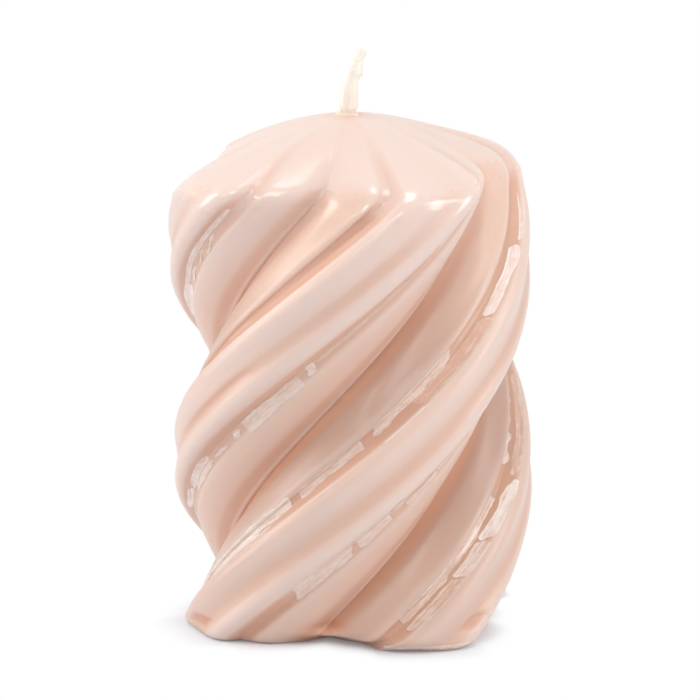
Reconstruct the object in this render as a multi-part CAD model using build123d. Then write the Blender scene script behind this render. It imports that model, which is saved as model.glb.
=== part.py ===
"""Spiral pillar candle: a twisted, ribbed wax body on a rounded foot, with its wick, wick holder and wax seals.

Millimetres, +Z up. The origin is on the floor, on the candle's axis. The front of the candle faces -Y.
Each piece is written to parts/ as one STEP file.
"""

import math
import os

from build123d import *

# Section of the wax body: four lobes, each mirrored about its own middle
lobe_count = 4
groove_radius = 24.6
flank_radius = 30.3
crease_radius = 31.4
rib_radius = 35.0
crown_radius = 34.6
groove_to_flank = 18.0
flank_to_crease = 8.3
crease_to_rib = 9.7

# Heights, twist and dome of the wax body
rim_height = 88.6
dome_rise = 10.4
dome_fullness = 1.7
foot_round = 3.0
twist_pitch = 168.0
groove_bearing = 69.5
turn_per_slice = 11.0
foot_slices = 5
dome_slices = 7

# Wick and the run that it takes above the wax
wick_diameter = 2.6
wick_clearance = 0.05
straight_above_seal = 0.2
lower_run = 7.2
upper_run = 4.9
lower_lean = 5.6
upper_lean = 21.0
lean_bend_radius = 6.0
kink_bend_radius = 4.0

# Set wax round the wick: the seal on the dome and the sleeve higher up
seal_width = 1.05
seal_height = 0.8
seal_land = 0.15
sleeve_lip_wall = 0.6
sleeve_top_wall = 0.2
sleeve_lip_round = 0.3
sleeve_end_gap = 0.15

# Tin-plated wick holder in the foot
holder_diameter = 20.0
holder_sheet = 0.3
holder_neck_height = 6.0
holder_neck_flare = 0.8
holder_crimp_height = 2.0
holder_crimp_depth = 0.12
holder_clearance = 0.1
holder_recess = 1.2

# Sizes worked out from those above
wick_radius = wick_diameter / 2
bore_radius = wick_radius + wick_clearance
land_height = rim_height + dome_rise
seal_radius = bore_radius + seal_width
land_scale = (seal_radius + seal_land) / groove_radius
lobe_angle = 360.0 / lobe_count
crease_angle = groove_to_flank + flank_to_crease
rib_angle = crease_angle + crease_to_rib
neck_radius = bore_radius + holder_sheet
holder_bottom = holder_recess - holder_sheet


def polar(radius, angle):
    """Point of the section at a radius and at an angle from the lobe's first groove."""
    return (radius * math.cos(math.radians(angle)), radius * math.sin(math.radians(angle)))


def lobe_edges(first_angle):
    """One lobe: a flank from the groove to the crease, the two-ribbed crown, and the flank mirrored."""
    near = [
        (groove_radius, 0.0),
        (flank_radius, groove_to_flank),
        (crease_radius, crease_angle),
    ]
    crown = [
        (crease_radius, crease_angle),
        (rib_radius, rib_angle),
        (crown_radius, lobe_angle / 2),
        (rib_radius, lobe_angle - rib_angle),
        (crease_radius, lobe_angle - crease_angle),
    ]
    far = [(radius, lobe_angle - angle) for radius, angle in reversed(near)]
    return [
        Spline([polar(radius, first_angle + angle) for radius, angle in stretch])
        for stretch in (near, crown, far)
    ]


def body_section():
    """The whole section, as it lies at the foot before it is turned."""
    edges = []
    for lobe in range(lobe_count):
        edges += lobe_edges(lobe * lobe_angle)
    return make_face(edges)


def body_slice(section, height, size=1.0):
    """The section at a height, turned as far as the twist has come, which stops at the rim."""
    turn = groove_bearing + 360.0 * min(height, rim_height) / twist_pitch
    return Pos(0, 0, height) * Rot(0, 0, turn) * scale(section, by=size)


def body_blank():
    """Rounded foot, twisted side and fluted dome, which meet at shared sections."""
    section = body_section()

    foot = []
    for step in range(foot_slices):
        sweep_angle = math.radians(90.0 * step / (foot_slices - 1))
        inset = foot_round * (1 - math.sin(sweep_angle))
        height = foot_round * (1 - math.cos(sweep_angle))
        foot.append(body_slice(section, height, 1 - inset / rib_radius))

    side = []
    side_height = rim_height - foot_round
    side_steps = math.ceil(360.0 * side_height / twist_pitch / turn_per_slice)
    for step in range(side_steps + 1):
        side.append(body_slice(section, foot_round + side_height * step / side_steps))

    dome = []
    for step in range(dome_slices):
        size = 1 - (1 - land_scale) * step / (dome_slices - 1)
        share = (1 - size**dome_fullness) / (1 - land_scale**dome_fullness)
        dome.append(body_slice(section, rim_height + dome_rise * share, size))

    return loft(foot) + loft(side) + loft(dome)


def wick_way():
    """What is open inside the body: the holder's recess, the pocket for its neck and the wick's bore."""
    recess_radius = holder_diameter / 2 + holder_clearance
    pocket_radius = neck_radius + holder_neck_flare + holder_clearance
    pocket_top = holder_recess + holder_neck_height + holder_clearance
    floor_up = (Align.CENTER, Align.CENTER, Align.MIN)
    return (
        Cylinder(recess_radius, holder_recess, align=floor_up)
        + Cylinder(pocket_radius, pocket_top, align=floor_up)
        + Cylinder(bore_radius, land_height, align=floor_up)
    )


def wax_body():
    """Moulded wax: the twisted body, open along its axis for the wick."""
    return body_blank() - wick_way()


def wick_holder():
    """Stamped sheet disc with a neck that is crimped on the wick."""
    edge = holder_diameter / 2
    top = holder_bottom + holder_sheet
    neck_top = top + holder_neck_height
    flare_start = (neck_radius + holder_neck_flare, top)
    flare_end = (neck_radius, top + holder_neck_flare)
    outline = [
        Polyline(
            flare_end,
            (neck_radius, neck_top),
            (bore_radius, neck_top),
            (bore_radius, holder_bottom),
            (edge, holder_bottom),
            (edge, top),
            flare_start,
        ),
        RadiusArc(flare_start, flare_end, holder_neck_flare),
    ]
    holder = revolve(Plane.XZ * make_face(outline), Axis.Z)
    crimp_middle = top + (holder_neck_flare + holder_neck_height) / 2
    for side in (-1, 1):
        jaw = Box(2 * neck_radius, 2 * neck_radius, holder_crimp_height)
        offset = side * (2 * neck_radius - holder_crimp_depth)
        holder -= Pos(0, offset, crimp_middle) * jaw
    return holder


def lean_step(length, lean):
    """Offset of a run of the wick that leans towards +X by an angle from the vertical."""
    return Vector(length * math.sin(math.radians(lean)), 0, length * math.cos(math.radians(lean)))


wick_foot = Vector(0, 0, holder_bottom)
wick_exit = Vector(0, 0, land_height + seal_height + straight_above_seal)
wick_kink = wick_exit + lean_step(lower_run, lower_lean)
wick_tip = wick_kink + lean_step(upper_run, upper_lean)


def wick():
    """Braided cotton, drawn as its round envelope, straight in the wax and leaning above it."""
    route = FilletPolyline(
        wick_foot, wick_exit, wick_kink, wick_tip, radius=[lean_bend_radius, kink_bend_radius]
    )
    return sweep(Plane(wick_foot) * Circle(wick_radius), path=route)


def wick_seal():
    """Ring of set wax that closes the bore where the wick leaves the dome."""
    outline = [
        Polyline(
            (bore_radius, land_height + seal_height),
            (bore_radius, land_height),
            (seal_radius, land_height),
        ),
        EllipticalCenterArc(
            (bore_radius, land_height), seal_width, seal_height, start_angle=0, arc_size=90
        ),
    ]
    return revolve(Plane.XZ * make_face(outline), Axis.Z)


def bend_length(radius, angle):
    """Length that a bend takes from each of the two runs that it joins."""
    return radius * math.tan(math.radians(angle) / 2)


def wick_sleeve():
    """Wax left on the lower free run of the wick: a thin tapering tube with a thick rounded lip below."""
    start = bend_length(lean_bend_radius, lower_lean) + sleeve_end_gap
    end = lower_run - bend_length(kink_bend_radius, upper_lean - lower_lean) - sleeve_end_gap
    lip_radius = bore_radius + sleeve_lip_wall
    top_radius = bore_radius + sleeve_top_wall
    lip_start = (lip_radius - sleeve_lip_round, start)
    lip_end = (lip_radius, start + sleeve_lip_round)
    outline = [
        Polyline(lip_end, (top_radius, end), (bore_radius, end), (bore_radius, start), lip_start),
        RadiusArc(lip_start, lip_end, -sleeve_lip_round),
    ]
    sleeve = revolve(Plane.XZ * make_face(outline), Axis.Z)
    return Pos(wick_exit) * Rot(0, lower_lean, 0) * sleeve


pieces = {
    "wax_body": wax_body,
    "wick": wick,
    "wick_holder": wick_holder,
    "wick_seal": wick_seal,
    "wick_sleeve": wick_sleeve,
}

os.makedirs("parts", exist_ok=True)
for name, make in pieces.items():
    export_step(make(), f"parts/{name}.step")
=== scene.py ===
"""Looks of a spiral pillar candle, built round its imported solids: glossy pink wax, a braided cotton wick,
set wax round the wick, a tin-plated wick holder and a white table. Metres, +Z up, the front faces -Y."""

import math

import bpy
import numpy
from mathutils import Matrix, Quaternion, Vector


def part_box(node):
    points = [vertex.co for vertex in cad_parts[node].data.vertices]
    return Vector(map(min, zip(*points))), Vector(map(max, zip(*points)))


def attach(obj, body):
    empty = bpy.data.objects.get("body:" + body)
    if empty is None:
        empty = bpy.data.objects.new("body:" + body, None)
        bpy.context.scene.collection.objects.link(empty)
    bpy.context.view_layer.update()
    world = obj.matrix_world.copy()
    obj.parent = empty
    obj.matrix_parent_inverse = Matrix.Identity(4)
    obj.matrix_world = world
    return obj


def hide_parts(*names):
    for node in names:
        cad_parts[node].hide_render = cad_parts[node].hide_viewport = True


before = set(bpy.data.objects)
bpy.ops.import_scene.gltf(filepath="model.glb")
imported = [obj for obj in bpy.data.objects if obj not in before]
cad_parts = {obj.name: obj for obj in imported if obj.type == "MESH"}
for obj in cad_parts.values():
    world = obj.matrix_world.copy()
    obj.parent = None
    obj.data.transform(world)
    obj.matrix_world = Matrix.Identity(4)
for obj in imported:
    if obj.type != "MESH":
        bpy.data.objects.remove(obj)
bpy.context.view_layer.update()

# Wax body
# The candle itself: pale pink wax, cast in one piece in a twisted, ribbed mould round the bore for the wick.
# Its four lobes have a two-ribbed crown between stepped creases. Sharp grooves part them up to a soft dome.

wax_low, wax_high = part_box("wax_body")
land_height = wax_high[2]
rim_height = 0.0886
dome_fullness = 1.7
land_share = 0.1037
rim_round_height = 0.0048
rim_round_share = 0.125
groove_head_drop = 0.0034
groove_head_share = 0.07
groove_head_width = 8.0
dome_round_radius = 0.0325
flutes_start = 0.12
flutes_full = 1.0
shoulder_bearing = 5.0
shoulder_rise = 0.0006
shoulder_cosines = (0.35, 0.95)
shoulder_shares = (0.5, 0.9)
shoulder_heights = (rim_height - 0.008, rim_height)
foot_round = 0.0018
twist_pitch = 0.168
twist_end = 0.0890
twist_end_softness = 0.0016
groove_bearing = 69.5

lobe_angle = 90.0
groove_radius = 0.0246
flank_radius = 0.0303
crease_radius = 0.0314
rib_radius = 0.035
crown_radius = 0.0346
flank_angle = 18.0
crease_angle = 26.3
rib_angle = 36.0
far_crease_angle = lobe_angle - crease_angle
groove_rounding = 0.9

bore_radius = 0.00135
recess_radius = 0.0101
recess_height = 0.0012
pocket_radius = 0.00255
pocket_height = 0.0073

column_count = 400
dome_row_count = 36
rim_row_count = 18
side_row_count = 156
foot_row_count = 8
underside_row_count = 9
bore_row_count = 6


def curve_through(points, place):
    """Value at a place of the one polynomial that goes through all the points."""
    total = 0.0
    for here, value in points:
        term = value
        for other, _ in points:
            if other != here:
                term = term * (place - other) / (here - other)
        total = total + term
    return total


def section_radius(angle):
    """Radius of the wax at an angle of its section: a flank from groove to crease, then the ribbed crown."""
    middle = lobe_angle / 2
    reach = middle - numpy.abs(angle % lobe_angle - middle)
    eased = numpy.sqrt(reach**2 + groove_rounding**2) - groove_rounding / 2
    flank_points = [(0.0, groove_radius), (flank_angle, flank_radius), (crease_angle, crease_radius)]
    crown_points = [
        (crease_angle, crease_radius),
        (rib_angle, rib_radius),
        (middle, crown_radius),
        (lobe_angle - rib_angle, rib_radius),
        (far_crease_angle, crease_radius),
    ]
    flank = curve_through(flank_points, numpy.where(reach < crease_angle, eased, reach))
    crown = curve_through(crown_points, reach)
    return numpy.where(reach < crease_angle, flank, crown)


def dome_height(share):
    """Height of the dome where the section has shrunk to a share of its full size."""
    rise = (1 - share**dome_fullness) / (1 - land_share**dome_fullness)
    return rim_height + (land_height - rim_height) * rise


def turn_from(angle, middle, full_turn=360.0):
    """Angle from a middle that comes again after every full turn, the shorter way round."""
    return (angle - middle + full_turn / 2) % full_turn - full_turn / 2


def peak(place, middle, width):
    """Soft mark along a line, 1 at its middle."""
    return numpy.exp(-(((place - middle) / width) ** 2))


def ridge(angle, middle, width, strength=1.0):
    """Soft mark along every lobe at an angle from its groove, as strong as given at its middle."""
    return strength * peak(turn_from(angle, middle, lobe_angle), 0.0, width)


def ease(way):
    """Smooth step from 0 to 1, flat beyond both ends."""
    way = numpy.clip(way, 0, 1)
    return way * way * (3 - 2 * way)


def ramp(place, start, end):
    """Smooth step that is 0 at the start and 1 at the end, whichever of the two is higher."""
    return ease((place - start) / (end - start))


def band(angle, start, end, soft_start, soft_end, strength=1.0):
    """Flat mark along every lobe between two angles from its groove, with two soft borders."""
    middle = (start + end) / 2
    place = turn_from(angle, middle, lobe_angle) + middle
    return strength * ease((place - start) / soft_start + 0.5) * ease((end - place) / soft_end + 0.5)


def wander(angle, height, cells, step, seed):
    """Slow random swell from -1 to 1 over the section's angle and the height, closed round the section."""
    row_count = 64
    lattice = numpy.random.default_rng(seed).uniform(-1, 1, (row_count, cells))
    across = angle / 360 * cells
    along = height / step
    left = numpy.floor(across).astype(int)
    below = numpy.floor(along).astype(int)
    share_across = ease(across - left)
    share_along = ease(along - below)
    total = 0.0
    for up in (0, 1):
        for right in (0, 1):
            weight = numpy.abs(1 - up - share_along) * numpy.abs(1 - right - share_across)
            total = total + weight * lattice[(below + up) % row_count, (left + right) % cells]
    return total


def bearing_of(angle, height):
    """Bearing in radians of a place of the section, turned by the twist, which runs out softly at the rim."""
    over = height - twist_end
    twisted = (height + twist_end - numpy.sqrt(over**2 + twist_end_softness**2)) / 2
    return numpy.radians(angle + groove_bearing + 360 * twisted / twist_pitch)


def round_axis(radius, bearing, height):
    """Places at distances from the candle's axis, bearings in radians and heights."""
    places = [radius * numpy.cos(bearing), radius * numpy.sin(bearing), height]
    return numpy.stack(numpy.broadcast_arrays(*places), axis=-1)


# Marks in the skin of the wax: angle and height of the middle, half the angle, half the height, and strength
bare_mark_squareness = 6
bare_marks = [
    (133.5, 0.0031, 6.0, 0.0012, 1.3),
    (230.0, 0.0050, 3.5, 0.0014, 1.0),
    (154.4, 0.0056, 3.4, 0.0058, 0.55),
    (46.8, 0.0475, 2.4, 0.0084, 0.85),
]


def bare_mark(angle, height):
    """The shallow dents and bare bands in the skin, as strong as given at their middles."""
    marks = 0.0
    for middle, level, half_angle, half_height, strength in bare_marks:
        across = turn_from(angle, middle) / half_angle
        along = (height - level) / half_height
        marks = marks + strength * numpy.exp(-(across**bare_mark_squareness) - along**bare_mark_squareness)
    return marks


# Places where the foot had slumped in: bearing, half the spread in degrees, height that it reaches and depth
foot_slumps = [
    (20.0, 42.0, 0.0100, 0.0040),
    (-92.0, 34.0, 0.0032, 0.0041),
    (-97.0, 17.0, 0.0036, 0.0024),
    (-40.0, 30.0, 0.0160, -0.0007),
]
slump_border = 0.6

# The web of wax that closes the foot of one groove
web_angle = 180.0
web_half_angle = 6.0
web_depth = 0.0028
web_top = 0.0042
web_full = 0.0022


def toe_tuck(angle, height):
    """How far the wax draws in where the foot had slumped, less the web in the groove."""
    bearing = numpy.degrees(bearing_of(angle, height))
    web = peak(turn_from(angle, web_angle), 0.0, web_half_angle)
    tuck = -web_depth * web * ramp(height, web_top, web_full)
    for middle, half_spread, reach, depth in foot_slumps:
        across = numpy.abs(turn_from(bearing, middle)) / half_spread
        tuck = tuck + depth * ease(1 - height / reach) * ease((1 - across) / slump_border)
    return tuck


lip_angles = (21.0, 32.0, 60.0, 69.0)
lip_width = 2.0


def crease_lips(angle):
    """Where the wax has rolled into a lip on both sides of every crease, from 0 to 1."""
    return sum(ridge(angle, middle, lip_width) for middle in lip_angles)


# Relief along every lobe. A ridge: angle of its middle from the lobe's groove, width and rise. A hollow:
# angles of its two borders, how soft they are, and depth. A swell: cells round the section, height of a cell,
# seed and rise.
crease_ridges = [(19.6, 2.2, 0.00030), (26.6, 0.5, 0.00014), (29.8, 0.5, 0.00016), (70.6, 1.6, 0.00014)]
crease_hollows = [
    (22.5, 29.2, 1.6, 0.9, 0.00046),
    (61.0, 63.4, 0.9, 0.7, 0.00034),
    (64.4, 68.8, 0.8, 1.4, 0.00012),
]
far_ridge = (64.0, 0.5, 0.00012)
seam_ridge = (89.0, 0.7, 0.00012)
crown_hollow = (45.3, 51.3, 2.8, 2.8, 0.00016)
slot_hollow = (0.2, 6.0, 1.0, 2.6, 0.00045)
skin_swells = [(26, 0.013, 1, 0.00014), (84, 0.006, 2, 0.00005), (170, 0.030, 3, 0.00003)]
bare_mark_depth = 0.00030

# Heights between which the relief comes in or goes out, and the rolled wax at the rim
relief_in = (0.0, 0.002)
far_ridge_in = (0.011, 0.014)
slot_in = (0.0028, 0.0042)
relief_out = (rim_height - 0.004, rim_height)
relief_kept_on_dome = 0.65
lip_height = rim_height - 0.0024
lip_half_height = 0.0014
lip_rise = 0.00040
bead_height = rim_height - 0.0008
bead_half_height = 0.0009
bead_rise = 0.00030
bead_least = 0.6
bead_swell = (44, 0.05, 7)


def wax_relief(angle, height):
    """How far the cast wax stands out of its plain section: swells, stepped creases, slots in the grooves."""
    swell = 0.0
    for cells, step, seed, rise in skin_swells:
        swell = swell + rise * wander(angle, height, cells, step, seed)
    steps = sum(ridge(angle, *place) for place in crease_ridges)
    steps = steps - sum(band(angle, *place) for place in crease_hollows)
    steps = steps + ridge(angle, *far_ridge) * ramp(height, *far_ridge_in)
    below_rim = 1 - ramp(height, *relief_out)
    slots = band(angle, *slot_hollow) * ramp(height, *slot_in)
    steps = steps + (ridge(angle, *seam_ridge) - band(angle, *crown_hollow) - slots) * below_rim
    steps = steps - bare_mark_depth * bare_mark(angle, height)
    steps = steps + lip_rise * crease_lips(angle) * peak(height, lip_height, lip_half_height)
    bead = bead_least + (1 - bead_least) * wander(angle, height, *bead_swell)
    steps = steps + bead_rise * bead * peak(height, bead_height, bead_half_height)
    kept = relief_kept_on_dome + (1 - relief_kept_on_dome) * below_rim
    return swell + ramp(height, *relief_in) * kept * steps


def foot_share(height):
    """Share of the section that is left where the foot is rounded."""
    way = numpy.clip(1 - height / foot_round, 0, 1)
    return 1 - foot_round / rib_radius * (1 - numpy.sqrt(1 - way**2))


# Where the columns of the mesh crowd: angle from the lobe's groove, width, and how many more there are
crowded_places = [(26.4, 5.0, 1.8), (64.6, 5.0, 1.6), (0.6, 2.6, 2.0)]
crowding_steps = 7200


def column_angles():
    """Angles of the section's columns, closer together at the grooves and creases."""
    fine = numpy.linspace(0, 360, crowding_steps + 1)
    crowding = 1 + sum(ridge(fine, *place) for place in crowded_places)
    count = numpy.concatenate([[0], numpy.cumsum((crowding[1:] + crowding[:-1]) / 2)])
    return numpy.interp(numpy.arange(column_count) / column_count * count[-1], count, fine)


def body_rows(angles):
    """Rows of the body's skin, from the bore's upper edge over the outside and back up the bore.

    Each row holds a share of the lobed section, a radius that is added all round, and a height per angle.
    The rim is rounded further down at the heads of the grooves."""
    head = ridge(angles, 0.0, groove_head_width)
    rim_share = 1 - rim_round_share - groove_head_share * head
    rim_low = rim_height - rim_round_height - groove_head_drop * head
    dome_edge = dome_height(rim_share)
    small_step = 0.001
    dome_slope = (dome_height(rim_share + small_step) - dome_edge) / small_step
    rim_corner = dome_edge + dome_slope * (1 - rim_share)
    rows = [(0.0, bore_radius, land_height)]
    for way in numpy.linspace(0, 1, dome_row_count):
        share = land_share + (rim_share - land_share) * way
        rows.append((share, 0.0, dome_height(share)))
    for way in numpy.linspace(0, 1, rim_row_count + 2)[1:-1]:
        inner = (1 - way) ** 4 + 2 * way * (1 - way) ** 3
        outer = way**4 + 2 * way**3 * (1 - way)
        corner = 1 - inner - outer
        share = inner * rim_share + corner + outer
        rows.append((share, 0.0, inner * dome_edge + corner * rim_corner + outer * rim_low))
    for way in numpy.linspace(0, 1, side_row_count):
        rows.append((1.0, 0.0, rim_low + (foot_round - rim_low) * way))
    for turn in numpy.linspace(math.pi / 2, 0, foot_row_count + 1)[1:]:
        height = foot_round * (1 - math.cos(turn))
        rows.append((foot_share(height), 0.0, height))
    for way in numpy.linspace(0, 1, underside_row_count + 1)[1:]:
        rows.append((foot_share(0.0) * (1 - way), recess_radius * way, 0.0))
    rows.append((0.0, recess_radius, recess_height))
    rows.append((0.0, pocket_radius, recess_height))
    rows.append((0.0, pocket_radius, pocket_height))
    rows.append((0.0, bore_radius, pocket_height))
    for height in numpy.linspace(pocket_height, land_height, bore_row_count + 2)[1:-1]:
        rows.append((0.0, bore_radius, height))
    return numpy.array([numpy.broadcast_arrays(*row, angles)[:3] for row in rows])


columns = column_angles()
rows = body_rows(columns)
share, plain_radius, height = rows[:, 0], rows[:, 1], rows[:, 2]
angle = numpy.broadcast_to(columns, share.shape)

# Where the dome begins and is full, what counts as outside, and where the relief turns upward on the dome
dome_in = (rim_height - 0.0012, rim_height + 0.0023)
outside_share = 0.2
outside_height = 0.0004
upward_most = 0.9
upward_in = (rim_height - 0.001, rim_height + 0.002)

on_dome = ramp(height, *dome_in)
on_outside = ease(share / outside_share) * ease(height / outside_height)
flute = numpy.where(height > foot_round, ramp(share, flutes_start, flutes_full), 1.0)
lobed = dome_round_radius + (section_radius(angle) - dome_round_radius) * flute
lift = on_outside * share**2 * wax_relief(angle, height)
upward = upward_most * ramp(height, *upward_in)
radius = share * (lobed - toe_tuck(angle, height)) + plain_radius + lift * (1 - upward)
bearing = bearing_of(angle, height)
shoulder = shoulder_rise * ramp(numpy.cos(bearing - math.radians(shoulder_bearing)), *shoulder_cosines)
shoulder = shoulder * ramp(share, *shoulder_shares) * ramp(height, *shoulder_heights)
skin_height = numpy.maximum(height + lift * upward + shoulder, wax_low[2])
skin = round_axis(radius, bearing, skin_height)


def closed_grid(row_count, count):
    """Quads of a grid that closes on itself both ways."""
    row, column = numpy.mgrid[0:row_count, 0:count]
    next_row = (row + 1) % row_count
    next_column = (column + 1) % count
    corners = [row * count + column, next_row * count + column]
    corners += [next_row * count + next_column, row * count + next_column]
    return numpy.stack(corners, axis=-1).reshape(-1, 4)


def mesh_piece(name, points, faces, sharp_angle=50):
    """New object with smooth faces, sharp only at edges beyond an angle in degrees."""
    mesh = bpy.data.meshes.new(name)
    mesh.from_pydata(points.reshape(-1, 3).tolist(), [], [tuple(face) for face in faces])
    mesh.shade_smooth()
    mesh.set_sharp_from_angle(angle=math.radians(sharp_angle))
    piece = bpy.data.objects.new(name, mesh)
    bpy.context.collection.objects.link(piece)
    return piece


def keep_values(piece, name, values):
    """Stores one number for each point of a piece, for its material to read."""
    column = piece.data.attributes.new(name, "FLOAT", "POINT")
    column.data.foreach_set("value", values.astype(numpy.float32).ravel())


def keep_places(piece, name, places):
    """Stores one vector for each point of a piece, for its material to read."""
    column = piece.data.attributes.new(name, "FLOAT_VECTOR", "POINT")
    column.data.foreach_set("vector", places.astype(numpy.float32).ravel())


candle = mesh_piece("candle_wax", skin, closed_grid(len(rows), column_count), sharp_angle=70)
candle.cycles.shadow_terminator_geometry_offset = 0.3
candle.cycles.shadow_terminator_offset = 0.1

# Painted shade and highlight along every lobe, as tones of the wax's colour. A line: angle of its middle
# from the lobe's groove, width and strength. A stripe: angles of its two borders, how soft they are, and
# strength. A zone: heights where it begins and is full.
slot_stripe = (0.1, 5.6, 0.6, 3.2, 0.72)
seam_stripe = (83.4, 88.4, 2.2, 0.7, 0.36)
seam_foot_stripe = (80.0, 88.4, 4.0, 0.7, 0.30)
web_line = (0.0, 7.0, 0.50)
crease_stripe = (22.6, 29.2, 1.2, 0.5, 0.56)
far_crease_stripe = (61.0, 63.7, 0.8, 0.5)
far_step_stripe = (64.0, 68.4, 0.8, 1.4, 0.34)
near_rib_line = (37.5, 6.0)
far_rib_line = (56.5, 5.0)
edge_lines = [(20.0, 2.0, 0.45), (70.5, 2.5, 0.3), (29.8, 0.45, 0.6)]
seam_line = (89.1, 0.7, 0.6)
far_flank_stripe = (70.0, 83.0, 3.0, 2.0)
slot_lip_stripe = (0.0, 6.0, 1.0, 2.0, 0.7)
slot_lip_height = 0.0034
slot_lip_half_height = 0.0005
shelf_stripe = (4.0, 21.5, 5.0, 4.0)
crown_side_stripe = (20.0, 46.0, 6.0, 8.0)
valley_stripe = (45.3, 51.3, 2.8, 2.8, 0.85)
flute_stripes = [(24.0, 28.0, 5.0, 4.0), (62.0, 67.0, 4.0, 5.0)]
top_zone = (0.055, 0.088)
below_slot_zone = (0.0042, 0.0032)
foot_zone = (0.0085, 0.0035)
web_zone = (0.0056, 0.0040)
crease_end_zone = (0.0840, 0.0870)
valley_end_zone = (0.076, 0.085)
flute_zone = (0.0980, 0.0900)
shelf_zone = (0.078, 0.052)
pale_shelf_zone = (0.034, 0.010)
low_zone = (0.060, 0.005)

# How strongly the painted shade and highlight show: the least of a tone, what is gained on it, and what
# fades or is dulled
slot_top_fade = 0.75
slot_foot_fade = 0.5
seam_top_fade = 0.8
far_crease_least = 0.34
far_crease_gain = 0.16
crease_end_fade = 0.7
dome_hollow_fade = 0.8
flute_shade = 0.22
bare_mark_tone = 0.6
far_flank_least = 0.15
far_flank_gain = 0.65
low_crown_dulling = 0.4
top_highlight_gain = 0.4
side_highlight = 0.78
dome_highlight = 0.78
dome_rib_gain = 0.15
dome_flute_dulling = 0.25
shelf_shade = 0.9
pale_shelf_fade = 0.25
low_side_least = 0.08
low_side_gain = 0.34


def wax_flutes(angle, height, on_dome):
    """The flutes that run up the dome from the creases, from 0 to 1."""
    return sum(band(angle, *stripe) for stripe in flute_stripes) * on_dome * ramp(height, *flute_zone)


def wax_hollow_shade(angle, height, on_dome):
    """Painted shade in the grooves, creases and flutes of the wax, and darker at its bare marks, from 0 to 1.
    """
    near_top = ramp(height, *top_zone)
    slot_fade = (1 - slot_top_fade * near_top) * (1 - slot_foot_fade * ramp(height, *below_slot_zone))
    seam_fade = 1 - seam_top_fade * near_top
    groove = band(angle, *slot_stripe) * slot_fade + band(angle, *seam_stripe) * seam_fade
    # Painted shade at the foot of the seam and on the web of wax, which face down
    groove = groove + band(angle, *seam_foot_stripe) * ramp(height, *foot_zone)
    groove = groove + ridge(angle, *web_line) * ramp(height, *web_zone)
    far_tone = far_crease_least + far_crease_gain * ramp(height, *far_ridge_in)
    far_crease = band(angle, *far_crease_stripe) * far_tone
    crease = band(angle, *crease_stripe) + far_crease + band(angle, *far_step_stripe)
    crease = crease * (1 - crease_end_fade * ramp(height, *crease_end_zone))
    shaded_hollows = (groove + crease) * (1 - dome_hollow_fade * on_dome)
    shaded_hollows = shaded_hollows + flute_shade * wax_flutes(angle, height, on_dome)
    return numpy.clip(shaded_hollows + bare_mark_tone * bare_mark(angle, height), 0, 1)


def wax_highlight_share(angle, height, on_dome):
    """Painted highlight on ribs, edges, the top of the sides and the dome, less low on the crown and in the
    dome's flutes, from 0 to 1.
    """
    near_top = ramp(height, *top_zone)
    rib = numpy.maximum(ridge(angle, *near_rib_line), ridge(angle, *far_rib_line))
    edges = sum(ridge(angle, *line) for line in edge_lines)
    edges = edges + ridge(angle, *seam_line) * (1 - ramp(height, *below_slot_zone))
    edges = edges + band(angle, *far_flank_stripe) * (far_flank_least + far_flank_gain * near_top)
    edges = edges + band(angle, *slot_lip_stripe) * peak(height, slot_lip_height, slot_lip_half_height)
    dulled = 1 - low_crown_dulling * ramp(height, *low_zone) * band(angle, *crown_side_stripe)
    top_highlight = top_highlight_gain * near_top * (1 - band(angle, *shelf_stripe))
    on_side = side_highlight * numpy.clip((rib + edges) * dulled + top_highlight, 0, 1)
    on_top = dome_highlight + dome_rib_gain * rib - dome_flute_dulling * wax_flutes(angle, height, on_dome)
    return on_side * (1 - on_dome) + on_top * on_dome


def wax_tones(angle, height, on_dome):
    """Painted shade and highlight in the wax: hollow and valley shade, shaded low parts and highlight, each
    from 0 to 1.
    """
    # Painted shade on the low shelves and the lower sides, darker towards the bottom
    low_shelf = ramp(height, *shelf_zone) * (1 - pale_shelf_fade * ramp(height, *pale_shelf_zone))
    low_side = (low_side_least + low_side_gain * band(angle, *crown_side_stripe)) * ramp(height, *low_zone)
    return {
        "hollow": wax_hollow_shade(angle, height, on_dome),
        "valley": band(angle, *valley_stripe) * (1 - ramp(height, *valley_end_zone)),
        "shaded": numpy.maximum(shelf_shade * low_shelf * band(angle, *shelf_stripe), low_side),
        "painted_highlight": wax_highlight_share(angle, height, on_dome),
    }


gloss_height = rim_height - 0.0012
gloss_half_height = 0.0024
gloss_least = 0.8

# The painted shade and highlight of the wax, stored for its material
for tone, amount in wax_tones(angle, height, on_dome).items():
    keep_values(candle, tone, amount * on_outside)
rim_shine = gloss_least + (1 - gloss_least) * crease_lips(angle)
keep_values(candle, "gloss", rim_shine * peak(height, gloss_height, gloss_half_height) * on_outside)
keep_places(candle, "untwisted", round_axis(radius, numpy.radians(angle), height))


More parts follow.
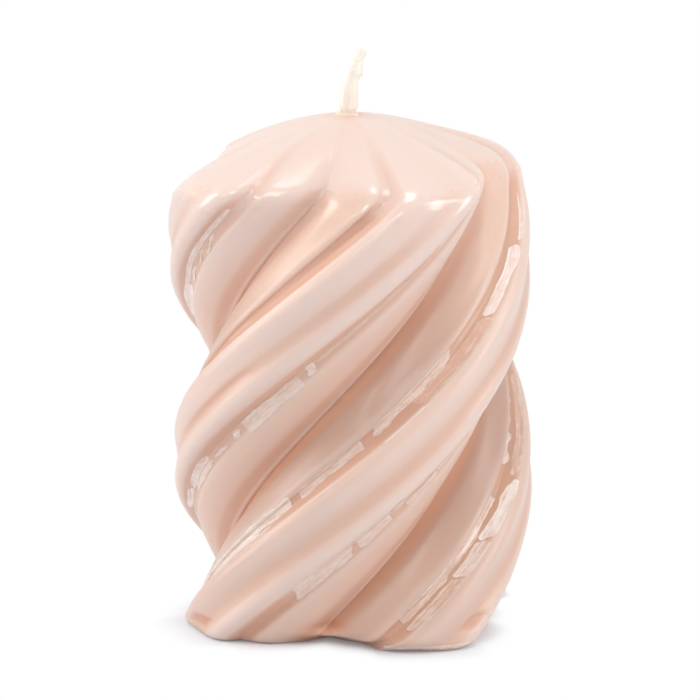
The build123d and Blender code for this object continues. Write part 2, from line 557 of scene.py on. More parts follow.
class Value:
    """A socket of a node tree. Arithmetic on it adds Math nodes, and node() adds any other node."""

    def __init__(self, tree, socket=None):
        self.tree = tree
        self.socket = socket

    def node(self, kind, settings=None, sockets=None, output=0):
        """Adds a node, sets it up, fills or links its sockets, and wraps one of its outputs."""
        made = self.tree.nodes.new(kind)
        for name, setting in (settings or {}).items():
            setattr(made, name, setting)
        for name, given in (sockets or {}).items():
            if isinstance(given, Value):
                self.tree.links.new(given.socket, made.inputs[name])
            else:
                made.inputs[name].default_value = given
        return Value(self.tree, made.outputs[output] if len(made.outputs) else None)

    def output(self, name):
        """Another output of the node that this one comes from."""
        return Value(self.tree, self.socket.node.outputs[name])

    def maths(self, operation, first, second):
        """Result of an operation on two values or numbers."""
        return self.node("ShaderNodeMath", {"operation": operation}, {0: first, 1: second})

    def blend(self, low, high):
        """Colour that goes from low to high as this value goes from 0 to 1."""
        return self.node("ShaderNodeMix", {"data_type": "RGBA"}, {0: self, 6: low, 7: high}, 2)

    def clipped(self):
        """This value, kept between 0 and 1."""
        return self.node("ShaderNodeClamp", None, {0: self})

    def bump(self, strength, distance):
        """Normal of a surface that has this value for its relief."""
        sockets = {"Strength": strength, "Distance": distance, "Height": self}
        return self.node("ShaderNodeBump", None, sockets)

    def __add__(self, other):
        return self.maths("ADD", self, other)

    def __sub__(self, other):
        return self.maths("SUBTRACT", self, other)

    def __rsub__(self, other):
        return self.maths("SUBTRACT", other, self)

    def __mul__(self, other):
        return self.maths("MULTIPLY", self, other)

    __radd__ = __add__
    __rmul__ = __mul__


def swatch(red, green, blue):
    """Linear colour of an 8-bit display colour."""
    linear = []
    for level in (red / 255, green / 255, blue / 255):
        linear.append(level / 12.92 if level <= 0.04045 else ((level + 0.055) / 1.055) ** 2.4)
    return (*linear, 1.0)


def new_finish(name):
    """Empty material, and a Value to build its nodes from."""
    material = bpy.data.materials.new(name)
    material.use_nodes = True
    material.node_tree.nodes.clear()
    return material, Value(material.node_tree)


def stored(tree, name, output="Fac"):
    """What was stored for each point of the piece under a name."""
    return tree.node("ShaderNodeAttribute", {"attribute_name": name}, None, output)


def streaks(tree, place, stretch, scale, detail=2.0):
    """Noise from 0 to 1, drawn out or squeezed along the three axes of a place."""
    drawn = tree.node("ShaderNodeVectorMath", {"operation": "MULTIPLY"}, {0: place, 1: stretch})
    return tree.node("ShaderNodeTexNoise", None, {"Vector": drawn, "Scale": scale, "Detail": detail})


def set_finish(tree, sockets):
    """Principled surface with the given socket values, as the material's output."""
    surface = tree.node("ShaderNodeBsdfPrincipled", None, sockets)
    tree.node("ShaderNodeOutputMaterial", None, {"Surface": surface})


wax_shelf = swatch(233, 197, 177)
# Colour of the painted shade in grooves, creases and flutes
wax_groove_shade = swatch(213, 153, 120)
# Colour of the painted shade in the crown's valley between the ribs
wax_valley_shade = swatch(225, 186, 166)
# Colour of the painted shade on the low shelves and lower sides
wax_low_shade = swatch(196, 158, 139)
# Colour of the painted highlight, also used for the random pale clouds in the wax
wax_pale_and_highlight = swatch(236, 214, 204)


def wax_shades(tree):
    """Colour of the wax with its painted shade and highlight, from the tones that are stored for each point.
    """
    shade = stored(tree, "shaded").blend(wax_shelf, wax_low_shade)
    shade = stored(tree, "painted_highlight").blend(shade, wax_pale_and_highlight)
    shade = stored(tree, "valley").blend(shade, wax_valley_shade)
    return stored(tree, "hollow").blend(shade, wax_groove_shade)


wax_finish, wax = new_finish("dipped_pink_wax")
wax_place = stored(wax, "untwisted", "Vector")
cloud = streaks(wax, wax_place, (1, 1, 0.35), 90.0)
grain = streaks(wax, wax_place, (1, 1, 0.12), 700.0)
rim_gloss = stored(wax, "gloss")
wax_colour = ((cloud - 0.5) * 0.5).clipped().blend(wax_shades(wax), wax_pale_and_highlight)
set_finish(
    wax,
    {
        "Base Color": wax_colour,
        "Roughness": 0.40 + 0.12 * (grain - 0.5) - 0.24 * rim_gloss,
        "Coat Weight": 0.12 + 0.72 * rim_gloss,
        "Coat Roughness": 0.06,
        "Coat IOR": 1.48,
        "Subsurface Weight": 0.25,
        "Subsurface Radius": (1.0, 0.48, 0.32),
        "Subsurface Scale": 0.004,
        "Normal": grain.bump(0.12, 0.0003),
    },
)
candle.data.materials.append(wax_finish)
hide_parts("wax_body")
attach(candle, "root")

# Lacquer film on the wax
# The candle was dipped in clear lacquer. Its skin has torn along the creases into whitish strips, a tenth of
# a millimetre thick, that lie on the wax with beaded edges and squared or rounded ends. Their white is partly
# the lacquer's own and partly painted reflection, whitest at the beaded edges.

film_thickness = 0.00009
film_bead = 0.00006
film_sunk = 0.00006
film_edge_width = 0.00009
film_bead_width = 0.00011
film_corner = 0.0006
film_columns = 21
film_back_columns = 5
film_row_step = 0.0002
film_lay_step = 0.01

# How a strip's width varies and how far it drifts in degrees: amount, angle from strip to strip, length of a
# cell, and seed
film_cells = 90
film_ragged = [(0.2, 50.0, 0.0019, 41), (0.1, 50.0, 0.0006, 43)]
film_drift = (0.3, 31.0, 0.004, 42)

# Each strip: the angle of the crease that it follows, the angles from it at which the strip begins and ends,
# the heights of its lower and upper end, how far its ends are slanted, how white it is, partly by painted
# reflection, and how much of the painted shade of a hollow it lets through
film_strips = [
    (26.3, -3.4, 0.2, 0.0200, 0.0480, 0.0004, 0.12, 0.4),
    (26.3, 0.5, 2.9, 0.0260, 0.0470, 0.0002, 0.25, 0.3),
    (63.7, 0.1, 7.0, 0.0430, 0.0538, -0.0008, 0.22, 0.4),
    (63.7, -0.4, 5.0, 0.0554, 0.0568, -0.0008, 0.35, 0.3),
    (63.7, 0.2, 5.0, 0.0406, 0.0422, -0.0006, 0.30, 0.3),
    (63.7, 1.2, 3.4, 0.0355, 0.0384, 0.0003, 0.30, 0.3),
    (63.7, -1.6, 0.7, 0.0265, 0.0352, -0.0003, 0.42, 0.3),
    (63.7, 0.8, 4.2, 0.0268, 0.0344, -0.0005, 0.22, 0.3),
    (63.7, -2.2, -0.2, 0.0200, 0.0260, 0.0003, 0.45, 0.3),
    (63.7, -0.7, 0.2, 0.0110, 0.0196, 0.0000, 0.45, 0.3),
    (63.7, 0.8, 2.0, 0.0576, 0.0850, 0.0000, 0.12, 0.4),
    (116.3, 0.5, 2.9, 0.0634, 0.0745, 0.0001, 0.60, 0.3),
    (116.3, 2.2, 3.2, 0.0752, 0.0840, 0.0001, 0.30, 0.3),
    (116.3, 0.3, 3.1, 0.0491, 0.0631, 0.0001, 0.00, 0.8),
    (116.3, 3.0, 3.6, 0.0425, 0.0489, 0.0000, 0.60, 0.3),
    (116.3, -4.4, 0.2, 0.0436, 0.0576, -0.0007, 0.26, 0.4),
    (116.3, -4.4, 0.4, 0.0312, 0.0417, -0.0005, 0.30, 0.4),
    (116.3, -6.0, -0.2, 0.0070, 0.0300, -0.0007, 0.52, 0.3),
    (116.3, -0.2, 3.0, 0.0080, 0.0249, 0.0002, 0.12, 0.4),
    (153.7, -3.2, 4.2, 0.0117, 0.0212, -0.0013, 0.30, 0.3),
    (153.7, -3.8, 4.6, 0.0221, 0.0275, -0.0009, 0.25, 0.3),
    (153.7, -4.2, 1.0, 0.0284, 0.0309, -0.0004, 0.10, 0.4),
    (153.7, 1.2, 6.5, 0.0288, 0.0345, -0.0006, 0.12, 0.4),
    (153.7, -3.5, 3.5, 0.0358, 0.0480, -0.0006, 0.08, 0.4),
    (153.7, -0.5, 3.0, 0.0500, 0.0740, 0.0004, 0.15, 0.4),
    (206.3, -4.6, 0.1, 0.0060, 0.0266, -0.0004, 0.20, 0.4),
    (206.3, -4.8, 0.2, 0.0316, 0.0366, -0.0003, 0.40, 0.3),
    (206.3, -4.4, 0.1, 0.0372, 0.0500, -0.0003, 0.08, 0.4),
    (206.3, 0.9, 3.5, 0.0197, 0.0286, 0.0003, 0.75, 0.3),
    (206.3, 0.5, 3.3, 0.0137, 0.0194, 0.0001, 0.42, 0.3),
    (206.3, 0.7, 3.6, 0.0048, 0.0135, 0.0001, 0.15, 0.6),
    (206.3, 1.3, 3.2, 0.0295, 0.0450, 0.0000, 0.08, 0.5),
    (206.3, 0.6, 2.6, 0.0500, 0.0840, 0.0000, 0.20, 0.4),
    (206.3, 2.0, 30.0, 0.0006, 0.0014, 0.0000, 0.30, 0.6),
    (243.7, -2.6, 4.4, 0.0100, 0.0340, 0.0006, 0.15, 0.4),
    (243.7, -0.2, 2.6, 0.0390, 0.0710, -0.0004, 0.25, 0.4),
    (296.3, -4.2, 0.2, 0.0150, 0.0330, 0.0003, 0.15, 0.4),
    (296.3, 0.4, 3.0, 0.0380, 0.0620, 0.0002, 0.30, 0.3),
    (296.3, 0.4, 3.0, 0.0660, 0.0830, 0.0002, 0.10, 0.5),
    (333.7, -1.6, -0.2, 0.0580, 0.0855, 0.0000, 0.50, 0.3),
    (333.7, 0.4, 4.6, 0.0768, 0.0782, -0.0016, 0.20, 0.3),
    (333.7, 0.0, 3.6, 0.0738, 0.0748, -0.0012, 0.20, 0.3),
    (333.7, 0.0, 4.4, 0.0686, 0.0706, -0.0014, 0.25, 0.3),
    (333.7, 0.4, 5.0, 0.0580, 0.0664, -0.0006, 0.55, 0.3),
    (333.7, -0.4, 4.0, 0.0160, 0.0470, -0.0005, 0.15, 0.4),
]


def ring_faces(row_count, corner_count):
    """Faces of a closed tube with flat ends, from rows of corners that go round it."""
    faces = []
    for row in range(row_count - 1):
        low = row * corner_count
        high = low + corner_count
        for corner in range(corner_count):
            beside = (corner + 1) % corner_count
            faces.append((low + corner, low + beside, high + beside, high + corner))
    last = (row_count - 1) * corner_count
    faces.append(tuple(reversed(range(corner_count))))
    faces.append(tuple(range(last, last + corner_count)))
    return faces


def joined(parts):
    """Points and faces of several meshes as one."""
    points = []
    faces = []
    count = 0
    for part_points, part_faces in parts:
        points.append(part_points)
        faces += [tuple(corner + count for corner in face) for face in part_faces]
        count += len(part_points)
    return numpy.concatenate(points), faces


def film_sway(number, length, amount, apart, step, seed):
    """Uneven run along a strip, another one for each strip."""
    return amount * wander(0 * length + apart * number, length, film_cells, step, seed)


def film_strip(number, crease, start, end, low, high, slant):
    """One strip of film: its mesh, and for each point its angle, height, nearness to an edge and lay."""
    row_count = int((high - low) / film_row_step) + 2
    way = numpy.linspace(0, 1, row_count)[:, None]
    spread = numpy.cos(numpy.linspace(math.pi, 0, film_columns))
    spread = numpy.concatenate([spread, numpy.linspace(1, -1, film_back_columns + 2)[1:-1]])[None, :]
    back = (numpy.arange(spread.size) >= film_columns)[None, :]
    length = low + way * (high - low)
    from_end = numpy.minimum(way, 1 - way) * (high - low)
    degree = math.radians(1) * crease_radius
    ragged = sum(film_sway(number, length, *sway) for sway in film_ragged)
    half = degree * (end - start) / 2 * (1 + ragged)
    corner = numpy.minimum(film_corner, half)
    half = half - corner + numpy.sqrt(corner**2 - numpy.maximum(corner - from_end, 0) ** 2)
    drift = film_sway(number, length, *film_drift)
    angle = crease + (start + end) / 2 + drift + spread * half / degree
    height = length + slant * spread
    to_edge = numpy.minimum((1 - numpy.abs(spread)) * half, from_end)
    rise = film_thickness * (1 - peak(to_edge, 0.0, film_edge_width))
    rise = rise + film_bead * peak(to_edge, film_bead_width, film_bead_width)
    rise = numpy.where(back, -2 * film_sunk, rise - film_sunk * (to_edge < film_edge_width / 4))
    section = (section_radius(angle) - toe_tuck(angle, height)) * foot_share(height)
    radius = section + wax_relief(angle, height) + rise
    points = round_axis(radius, bearing_of(angle, height), height)
    edge = peak(to_edge, 0.0, film_bead_width)
    lay = numpy.stack(numpy.broadcast_arrays(spread * half, height, film_lay_step * number), axis=-1)
    mesh = (points.reshape(-1, 3), ring_faces(row_count, spread.size))
    return mesh, angle.ravel(), height.ravel(), edge.ravel(), lay.reshape(-1, 3)


film_parts = [film_strip(number, *strip[:6]) for number, strip in enumerate(film_strips)]
film_points, film_faces = joined([part[0] for part in film_parts])
film = mesh_piece("lacquer_film", film_points, film_faces)
film_angle, film_height, film_edge, film_lay = [
    numpy.concatenate([part[column] for part in film_parts]) for column in (1, 2, 3, 4)
]
film_counts = [len(part[1]) for part in film_parts]
film_white_and_reflection = numpy.repeat([strip[6] for strip in film_strips], film_counts)
film_shows_hollow_shade = numpy.repeat([strip[7] for strip in film_strips], film_counts)
# The film takes on the painted shade and highlight of the wax below it
for tone, amount in wax_tones(film_angle, film_height, 0.0).items():
    keep_values(film, tone, amount * film_shows_hollow_shade if tone == "hollow" else amount)
keep_values(film, "edge", film_edge)
keep_places(film, "lay", film_lay)
keep_values(film, "white", film_white_and_reflection)

film_pale_and_reflection = swatch(252, 240, 232)
film_finish, lacquer = new_finish("torn_lacquer_film")
film_place = stored(lacquer, "lay", "Vector")
wrinkles = streaks(lacquer, film_place, (1, 0.04, 1), 4500.0)
blots = streaks(lacquer, film_place, (1, 0.5, 1), 900.0)
flecks = streaks(lacquer, film_place, (1, 0.4, 1), 3000.0)
# Whitish film with painted reflection, whitest at its beaded edges
whitening_and_reflection = stored(lacquer, "white") + (blots - 0.5) + 1.5 * (wrinkles - 0.5) + 0.9 * (flecks - 0.5)
whitening_and_reflection = whitening_and_reflection + 0.4 * stored(lacquer, "edge")
set_finish(
    lacquer,
    {
        "Base Color": whitening_and_reflection.clipped().blend(wax_shades(lacquer), film_pale_and_reflection),
        "Roughness": 0.2 + 0.2 * wrinkles,
        "Coat Weight": 0.8,
        "Coat Roughness": 0.06,
        "Normal": wrinkles.bump(0.5, 0.0001),
    },
)
film.data.materials.append(film_finish)
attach(film, "root")

# Wick holder
# A disc of thin tin-plated sheet with a drawn neck, stamped in one stroke and crimped on the wick. It sits in
# a recess of the foot and keeps the wick upright. The solid has its shape, so only its finish is new.

tin_bright = swatch(214, 215, 216)
tin_dull = swatch(176, 177, 178)
tin_finish, tin = new_finish("stamped_tinplate")
tin_place = tin.node("ShaderNodeTexCoord").output("Object")
spangle = tin.node("ShaderNodeTexVoronoi", None, {"Vector": tin_place, "Scale": 900.0}, "Color")
rolling = streaks(tin, tin_place, (1, 0.02, 1), 6000.0)
shine = (0.35 * tin.node("ShaderNodeSeparateColor", None, {0: spangle}) + 0.5 * rolling).clipped()
set_finish(
    tin,
    {
        "Base Color": shine.blend(tin_dull, tin_bright),
        "Metallic": 1.0,
        "Roughness": 0.24 + 0.22 * shine,
        "Normal": rolling.bump(0.2, 0.00003),
    },
)
holder_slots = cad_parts["wick_holder"].data.materials
holder_slots.clear()
holder_slots.append(tin_finish)

# Wick
# Round cotton braid, sixteen yarns over a core, soaked in wax and crimped in the holder at its foot.
# It is straight in the bore, leans over above the wax and has a kink with a knuckle on its right.

wick_route = [
    (0.0, 0.0, 0.0009),
    (0.0, 0.0, 0.0928),
    (0.0, 0.0, 0.1),
    (0.0007, 0.0, 0.10717),
    (0.00300, 0.0, 0.11176),
]
core_radius = 0.00114
soaked_radius = 0.00125
yarns_each_way = 8
braid_pitch = 0.0075
yarn_half_width = 0.00036
yarn_half_thickness = 0.00016
yarn_ring = 0.00099
yarn_weave = 0.00004
braid_start = 0.0935
knuckle_place = 0.1068
knuckle_length = 0.0011
knuckle_rise = 0.00055
wick_full = 1.06
wick_thinned = 0.84
yarn_steps = 170
yarn_end_gap = 0.0001
yarn_slack = 0.00005
yarn_slack_length = 0.0011
yarn_slack_shift = 2.4
core_corners = 20
soaked_rows = 24
braided_rows = 40
core_step = 0.001


def spline_run(points):
    """Points and lengths along the smooth spline that the route's points control."""
    curve = bpy.data.curves.new("route", "CURVE")
    curve.dimensions = "3D"
    spline = curve.splines.new("NURBS")
    spline.points.add(len(points) - 1)
    for control, point in zip(spline.points, points):
        control.co = (*point, 1.0)
    spline.order_u = 3
    spline.use_endpoint_u = True
    spline.resolution_u = 60
    carrier = bpy.data.objects.new("route", curve)
    line = bpy.data.meshes.new_from_object(carrier)
    run = numpy.array([vertex.co for vertex in line.vertices])
    bpy.data.objects.remove(carrier)
    bpy.data.curves.remove(curve)
    bpy.data.meshes.remove(line)
    steps = numpy.linalg.norm(numpy.diff(run, axis=0), axis=1)
    return run, numpy.concatenate([[0.0], numpy.cumsum(steps)])


wick_run, wick_lengths = spline_run(wick_route)
wick_length = wick_lengths[-1]


def on_wick(length):
    """Centre of the wick at a length from its foot, and the directions right of and in front of it there."""
    slopes = numpy.gradient(wick_run, wick_lengths, axis=0)
    centre, along = [
        numpy.stack([numpy.interp(length, wick_lengths, values) for values in columns.T], axis=-1)
        for columns in (wick_run, slopes)
    ]
    along /= numpy.linalg.norm(along, axis=-1, keepdims=True)
    front = numpy.broadcast_to(numpy.array([0.0, -1.0, 0.0]), along.shape)
    return centre, numpy.cross(along, front), front


def tube(centre, across, side, half_across, half_side, corner_count=8):
    """Closed tube of oval section round a line of points: its points and faces."""
    around = numpy.linspace(0, 2 * math.pi, corner_count, endpoint=False)
    cosine = numpy.cos(around)[None, :, None]
    sine = numpy.sin(around)[None, :, None]
    points = (
        centre[:, None]
        + cosine * numpy.asarray(half_across)[..., None, None] * across[:, None]
        + sine * numpy.asarray(half_side)[..., None, None] * side[:, None]
    )
    return points.reshape(-1, 3), ring_faces(len(centre), corner_count)


def wick_taper(length):
    """Share of the braid's full thickness at a length, which is drawn out thinner towards the tip."""
    return wick_full + (wick_thinned - wick_full) * ramp(length, knuckle_place, wick_length)


def yarn(number, direction):
    """One yarn of the braid, which winds one way and passes over and under those that wind the other way."""
    length = numpy.linspace(braid_start, wick_length - yarn_end_gap, yarn_steps)
    winding = 2 * math.pi * (length - braid_start) / braid_pitch
    bearing = direction * winding + 2 * math.pi * number / yarns_each_way
    over = direction * numpy.cos(yarns_each_way * winding)
    knuckle = peak(length, knuckle_place, knuckle_length) * numpy.maximum(numpy.cos(bearing), 0)
    slack = yarn_slack * numpy.sin(length / yarn_slack_length + yarn_slack_shift * number)
    ring = yarn_ring + yarn_weave * over + knuckle_rise * knuckle + slack
    ring = ring * wick_taper(length)
    centre, right, front = on_wick(length)
    outward = numpy.cos(bearing)[:, None] * right + numpy.sin(bearing)[:, None] * front
    line = centre + ring[:, None] * outward
    along = numpy.gradient(line, axis=0)
    beside = numpy.cross(along, outward)
    beside /= numpy.linalg.norm(beside, axis=-1, keepdims=True)
    thickness = numpy.full(len(length), yarn_half_thickness)
    width = numpy.full(len(length), yarn_half_width)
    return tube(line, outward, beside, thickness, width)


soaked_length = numpy.linspace(0, braid_start, soaked_rows)
braided_length = numpy.linspace(braid_start + core_step, wick_length, braided_rows)
core_length = numpy.concatenate([soaked_length, braided_length])
core_centre, core_right, core_front = on_wick(core_length)
core_size = numpy.where(core_length <= braid_start, soaked_radius, core_radius * wick_taper(core_length))
core_swell = knuckle_rise / 2 * peak(core_length, knuckle_place, knuckle_length)
core_centre = core_centre + core_swell[:, None] * core_right
core_width = core_size + core_swell
core = tube(core_centre, core_front, core_right, core_size + core_swell / 2, core_width, core_corners)
braid = [yarn(number, direction) for number in range(yarns_each_way) for direction in (1, -1)]
braid_points, braid_faces = joined([core] + braid)
wick_piece = mesh_piece("braided_wick", braid_points, braid_faces)

cotton_light = swatch(254, 251, 240)
cotton_shade = swatch(250, 244, 229)
cotton_finish, cotton = new_finish("waxed_cotton")
cotton_place = cotton.node("ShaderNodeTexCoord").output("Object")
fibres = streaks(cotton, cotton_place, (1, 1, 0.15), 5000.0)
soaking = streaks(cotton, cotton_place, (1, 1, 1), 700.0)
set_finish(
    cotton,
    {
        "Base Color": (0.5 * fibres + 0.6 * soaking - 0.15).clipped().blend(cotton_shade, cotton_light),
        "Roughness": 0.6 + 0.3 * fibres,
        "Sheen Weight": 0.2,
        "Normal": fibres.bump(0.2, 0.00005),
    },
)
wick_piece.data.materials.append(cotton_finish)
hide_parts("wick")
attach(wick_piece, "root")

# Wick seal
# Wax that ran down the wick and set in a small uneven ring where it leaves the dome, which closes the bore.
# Two drops stand on its left and a low one on its right.

seal_width = 0.0007
seal_height = 0.0007
seal_columns = 72
seal_rows = 14
seal_uneven = 0.00012

# Swell of a ring round the wick: cells round it, share of the ring's way that a cell takes, and seed
seal_swell = (9, 1.0, 21)

# Drops on the seal: bearing, half the spread in degrees, and rise
seal_drops = [(205.0, 16.0, 0.0005), (172.0, 12.0, 0.00035), (330.0, 20.0, 0.0002)]
drop_flatness = 0.8

seal_bearing = numpy.linspace(0, 360, seal_columns, endpoint=False)[None, :]
seal_way = numpy.linspace(0, 1, seal_rows)[:, None]
swelling = seal_uneven * wander(seal_bearing, seal_way, *seal_swell)
for drop, spread, rise in seal_drops:
    swelling = swelling + rise * peak(turn_from(seal_bearing, drop), 0.0, spread)
seal_reach = (seal_width + swelling) * numpy.cos(seal_way * math.pi / 2)
seal_rise = (seal_height + drop_flatness * swelling) * numpy.sin(seal_way * math.pi / 2)
seal_radius = bore_radius + numpy.maximum(seal_reach, 0)
seal_outside = round_axis(seal_radius, numpy.radians(seal_bearing), land_height + seal_rise)
seal_inside = seal_outside[:1].copy()
seal_inside[..., :2] *= bore_radius / seal_radius[:1][..., None]
seal_points = numpy.concatenate([seal_outside, seal_inside])
seal_piece = mesh_piece("set_wax_ring", seal_points, closed_grid(seal_rows + 1, seal_columns))

seal_pale = swatch(250, 234, 220)
seal_pink = swatch(236, 203, 184)
seal_finish, seal_wax = new_finish("set_seal_wax")
seal_place = seal_wax.node("ShaderNodeTexCoord").output("Object")
veins = streaks(seal_wax, seal_place, (1, 1, 1), 900.0)
set_finish(
    seal_wax,
    {
        "Base Color": veins.blend(seal_pink, seal_pale),
        "Roughness": 0.2 + 0.15 * veins,
        "Coat Weight": 0.7,
        "Coat Roughness": 0.06,
        "Normal": veins.bump(0.2, 0.00008),
    },
)
seal_piece.data.materials.append(seal_finish)
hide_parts("wick_seal")
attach(seal_piece, "root")

# Wick sleeve
# Wax that stayed on the lower free run of the wick when it was drawn out of the dip, with lengthwise runs.
# It is thickest in an uneven lip below and thins out on the cotton above.

wick_foot = wick_route[0][2]
sleeve_start = 0.0994 - wick_foot
sleeve_end = 0.1081 - wick_foot
sleeve_lip_start = 0.1007 - wick_foot
sleeve_inner_radius = 0.00133
sleeve_closed_radius = 0.00116
sleeve_neck_wall = 0.00012
sleeve_lip_wall = 0.00052
sleeve_top_wall = 0.00026
sleeve_lip_wave = 0.00025
sleeve_lip_swell = (5, 1.0, 31)
sleeve_top_wave = 0.0006
sleeve_top_swell = (7, 1.0, 32)
sleeve_run_rise = 0.00003
sleeve_run_swell = (16, 2 / 3, 33)
sleeve_lip_round = 0.1
sleeve_lip_taper = 1.3
sleeve_closing = (0.45, 1.0)
sleeve_end_round = 0.05
sleeve_end_least = 0.02
sleeve_columns = 72
sleeve_rows = 46
sleeve_inside_step = 6
sleeve_inside_gap = 0.00002

sleeve_bearing = numpy.linspace(0, 360, sleeve_columns, endpoint=False)[None, :]
sleeve_way = numpy.linspace(0, 1, sleeve_rows)[:, None]
lip_wave = sleeve_lip_wave * wander(sleeve_bearing, 0 * sleeve_bearing, *sleeve_lip_swell)
top_wave = sleeve_top_wave * wander(sleeve_bearing, 0 * sleeve_bearing, *sleeve_top_swell)
sleeve_length = sleeve_start * (1 - sleeve_way) + (sleeve_end + top_wave) * sleeve_way
runs = wander(sleeve_bearing, sleeve_way, *sleeve_run_swell)
lip_place = (sleeve_lip_start + lip_wave - sleeve_start) / (sleeve_end - sleeve_start)
above_lip = numpy.clip((sleeve_way - lip_place) / (1 - lip_place), 0, 1)
below_lip = ease((lip_place - sleeve_way) / sleeve_lip_round)
sleeve_wall = sleeve_top_wall + (sleeve_lip_wall - sleeve_top_wall) * (1 - above_lip) ** sleeve_lip_taper
sleeve_wall = sleeve_wall + (sleeve_neck_wall - sleeve_wall) * below_lip + sleeve_run_rise * runs
sleeve_wall = sleeve_wall * numpy.sqrt(numpy.clip((1 - sleeve_way) / sleeve_end_round, sleeve_end_least, 1))


def round_wick(length, bearing, distance):
    """Places at lengths along the wick, bearings round it and distances from its middle."""
    centre, right, front = on_wick(length)
    angle = numpy.radians(bearing)[..., None]
    return centre + distance[..., None] * (numpy.cos(angle) * right + numpy.sin(angle) * front)


sleeve_bearing = numpy.broadcast_to(sleeve_bearing, sleeve_wall.shape)
sleeve_distance = sleeve_inner_radius + sleeve_wall
closing = ramp(sleeve_way, *sleeve_closing)
sleeve_distance = sleeve_distance + (sleeve_closed_radius - sleeve_distance) * closing
sleeve_outside = round_wick(sleeve_length, sleeve_bearing, sleeve_distance)
inside_bearing = sleeve_bearing[::-sleeve_inside_step]
inside_distance = numpy.full_like(inside_bearing, sleeve_inner_radius - sleeve_inside_gap)
sleeve_inside = round_wick(sleeve_length[::-sleeve_inside_step], inside_bearing, inside_distance)
sleeve_points = numpy.concatenate([sleeve_outside, sleeve_inside])
sleeve_piece = mesh_piece("wax_sleeve", sleeve_points, closed_grid(len(sleeve_points), sleeve_columns))

sleeve_pale = swatch(254, 246, 235)
sleeve_warm = swatch(247, 232, 217)
sleeve_finish, sleeve_wax = new_finish("thin_set_wax")
sleeve_place = sleeve_wax.node("ShaderNodeTexCoord").output("Object")
drips = streaks(sleeve_wax, sleeve_place, (1, 1, 0.12), 1600.0)
set_finish(
    sleeve_wax,
    {
        "Base Color": drips.blend(sleeve_warm, sleeve_pale),
        "Roughness": 0.32 + 0.15 * drips,
        "Coat Weight": 0.4,
        "Coat Roughness": 0.12,
        "Normal": drips.bump(0.3, 0.0001),
    },
)
sleeve_piece.data.materials.append(sleeve_finish)
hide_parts("wick_sleeve")
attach(sleeve_piece, "root")

# White table, light and camera
# A seamless white table under five soft lamps, as for a shop picture, and the camera where the photograph was
# taken from. Camera and mirror rays see pure white behind the candle, and the table keeps the contact shadow.

table_steps = numpy.array([0.0, 0.0005, 0.0015, 0.0025, 0.0035, 0.005, 0.0065, 0.0085, 0.012, 0.1, 2.0])
table_columns = 240
table_drop = 0.0001
shadow_start = 0.0005
shadow_fade = 0.0080
short_shadow_bearing = 35.0
short_shadow_cosines = (0.4, 0.9)
short_shadow_share = 0.3

table_bearing = numpy.linspace(0, 360, table_columns, endpoint=False)
foot_angle = table_bearing - groove_bearing
foot_outline = foot_share(0.0) * (section_radius(foot_angle) - toe_tuck(foot_angle, 0.0))
table_radius = numpy.concatenate([0 * foot_outline[None, :], foot_outline + table_steps[:, None]])
table_points = round_axis(table_radius, numpy.radians(table_bearing), -table_drop)
table_faces = closed_grid(len(table_radius), table_columns)[:-table_columns]
table = mesh_piece("white_table", table_points, table_faces)
behind_right = ramp(numpy.cos(numpy.radians(table_bearing - short_shadow_bearing)), *short_shadow_cosines)
shadow_length = shadow_fade * (1 - (1 - short_shadow_share) * behind_right)
keep_values(table, "far", ease((table_radius - foot_outline - shadow_start) / shadow_length))


def seen_rays(tree):
    """1 for rays that come from the camera, straight or by a mirror or a clear piece, and 0 for others."""
    path = tree.node("ShaderNodeLightPath")
    rays = path.output("Is Camera Ray") + path.output("Is Glossy Ray") + path.output("Is Transmission Ray")
    return rays.clipped()


table_finish, paper = new_finish("white_paper")
sheet = paper.node("ShaderNodeBsdfDiffuse", None, {"Color": swatch(232, 236, 242)})
lit = paper.node("ShaderNodeEmission", None, {"Color": (1, 1, 1, 1), "Strength": 0.10})
lifted = paper.node("ShaderNodeAddShader", None, {0: sheet, 1: lit})
plain_white = paper.node("ShaderNodeEmission", None, {"Color": (1, 1, 1, 1), "Strength": 1.0})
bright = paper.node("ShaderNodeMixShader", None, {0: stored(paper, "far"), 1: lifted, 2: plain_white})
shown = paper.node("ShaderNodeMixShader", None, {0: seen_rays(paper), 1: sheet, 2: bright})
paper.node("ShaderNodeOutputMaterial", None, {"Surface": shown})
table.data.materials.append(table_finish)

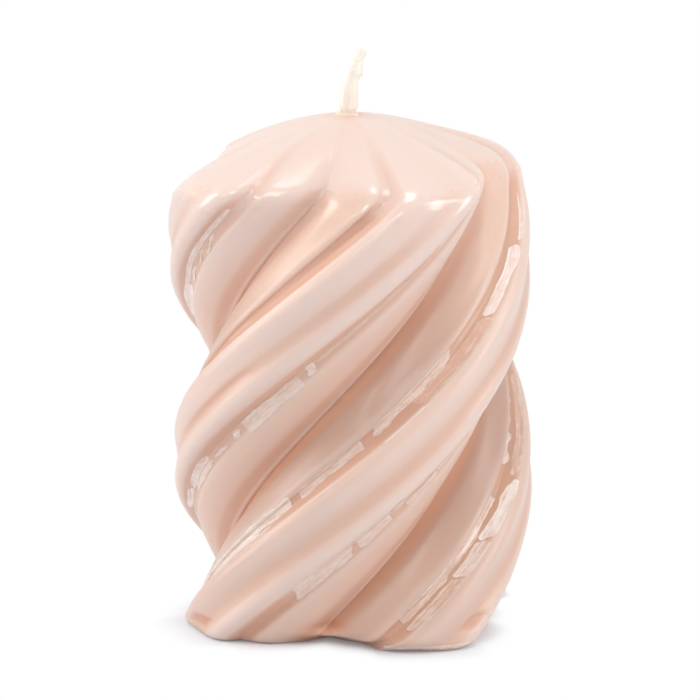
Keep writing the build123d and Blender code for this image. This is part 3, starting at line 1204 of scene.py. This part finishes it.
world = bpy.data.worlds.new("white_studio")
bpy.context.scene.world = world
world.use_nodes = True
world.node_tree.nodes.clear()
studio = Value(world.node_tree)
fill = studio.node("ShaderNodeBackground", None, {"Color": (1, 1, 1, 1), "Strength": 0.54})
backdrop = studio.node("ShaderNodeBackground", None, {"Color": (1, 1, 1, 1), "Strength": 1.0})
sky = studio.node("ShaderNodeMixShader", None, {0: seen_rays(studio), 1: fill, 2: backdrop})
studio.node("ShaderNodeOutputWorld", None, {"Surface": sky})

candle_middle = Vector((0.0, 0.0, 0.05))


def soft_box(name, place, width, depth, power):
    """Lamp with a flat, evenly lit face of two sizes, turned to the candle."""
    lamp = bpy.data.lights.new(name, "AREA")
    lamp.shape = "RECTANGLE"
    lamp.size = width
    lamp.size_y = depth
    lamp.energy = power
    holder = bpy.data.objects.new(name, lamp)
    holder.location = place
    holder.rotation_euler = (candle_middle - Vector(place)).to_track_quat("-Z", "Y").to_euler()
    bpy.context.collection.objects.link(holder)


soft_box("top_box", (0.0, 0.02, 0.70), 0.2, 0.2, 0.77)
soft_box("front_box", (-0.10, -0.30, 0.37), 0.17, 0.17, 0.40)
soft_box("left_box", (-0.62, 0.09, 0.24), 0.25, 0.6, 1.62)
soft_box("rim_box", (-0.34, -0.27, 0.36), 0.07, 0.07, 0.12)
soft_box("right_box", (0.63, -0.22, 0.18), 0.25, 0.6, 1.95)

photo_elevation = math.radians(14.18)
photo_distance = 0.74945
photo_roll = math.radians(-0.833)
photo_target = Vector((0.0, 0.0, 0.0451))
metres_per_pixel = 0.00019608
target_right = 1.98 * metres_per_pixel
target_down = 36.11 * metres_per_pixel
sensor_width = 36.0
frame_pixels = 700

eye = photo_target + photo_distance * Vector((0, -math.cos(photo_elevation), math.sin(photo_elevation)))
level = (photo_target - eye).to_track_quat("-Z", "Y") @ Quaternion((0, 0, 1), photo_roll)
aim = photo_target + level @ Vector((-target_right, target_down, 0.0))
camera_data = bpy.data.cameras.new("photo_camera")
camera_data.sensor_width = sensor_width
camera_data.lens = sensor_width * photo_distance / (frame_pixels * metres_per_pixel)
camera = bpy.data.objects.new("photo_camera", camera_data)
camera.location = eye
camera.rotation_euler = ((aim - eye).to_track_quat("-Z", "Y") @ Quaternion((0, 0, 1), photo_roll)).to_euler()
bpy.context.collection.objects.link(camera)
bpy.context.scene.camera = camera
bpy.context.scene.view_settings.view_transform = "Standard"
